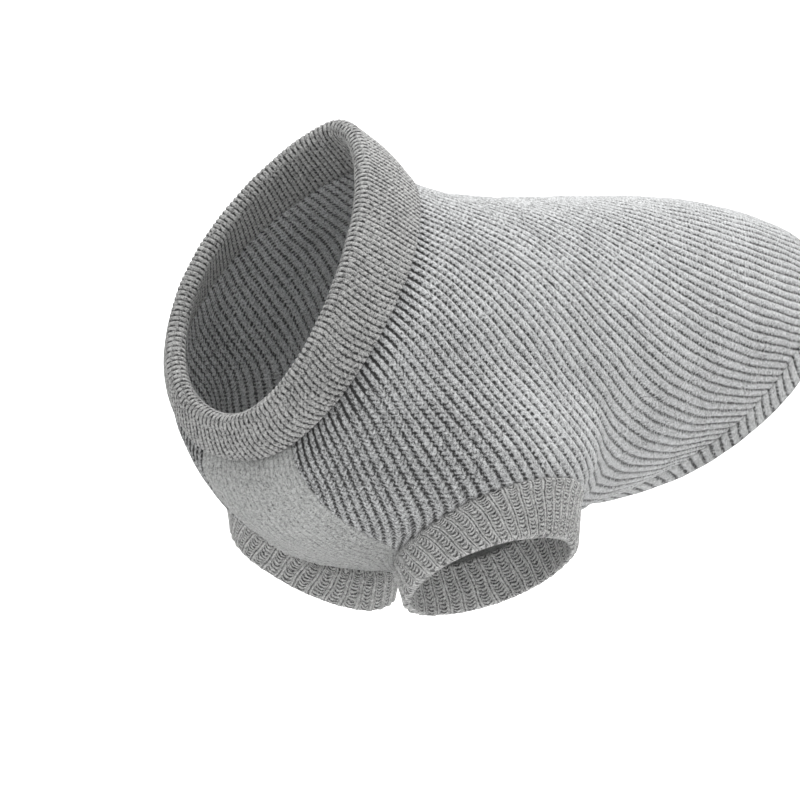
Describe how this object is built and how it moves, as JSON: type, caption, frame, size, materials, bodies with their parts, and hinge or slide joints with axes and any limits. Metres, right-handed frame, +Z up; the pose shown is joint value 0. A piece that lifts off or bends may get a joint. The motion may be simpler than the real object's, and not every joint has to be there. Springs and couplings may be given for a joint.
{
  "type": "dog sweater",
  "caption": "hollow worn-form dog sweater of ribbed knit, with a folded roll collar, short ribbed cuffs for the front legs, a smoother chest panel and a ribbed band round the slanted hem",
  "frame": {"origin": "on the inside of the cloth, on top of the middle of the back, where the wearer's back carries the sweater", "axes": "+Z is up, the wearer faces -X, its left side is -Y and its right side +Y; the sweater is the same on both sides of the plane Y = 0"},
  "size_m": [0.5111, 0.2254, 0.2734],
  "materials": {
    "body_knit": "matte melange grey rib knit",
    "chest_knit": "matte melange grey smooth knit",
    "edge_knit": "matte melange grey rib knit"
  },
  "bodies": {
    "root": {"back_panel": "body_knit", "chest_panel": "chest_knit", "collar": "edge_knit", "hem_band": "edge_knit", "cuff_left": "edge_knit", "cuff_right": "edge_knit"}
  },
  "joints": []
}
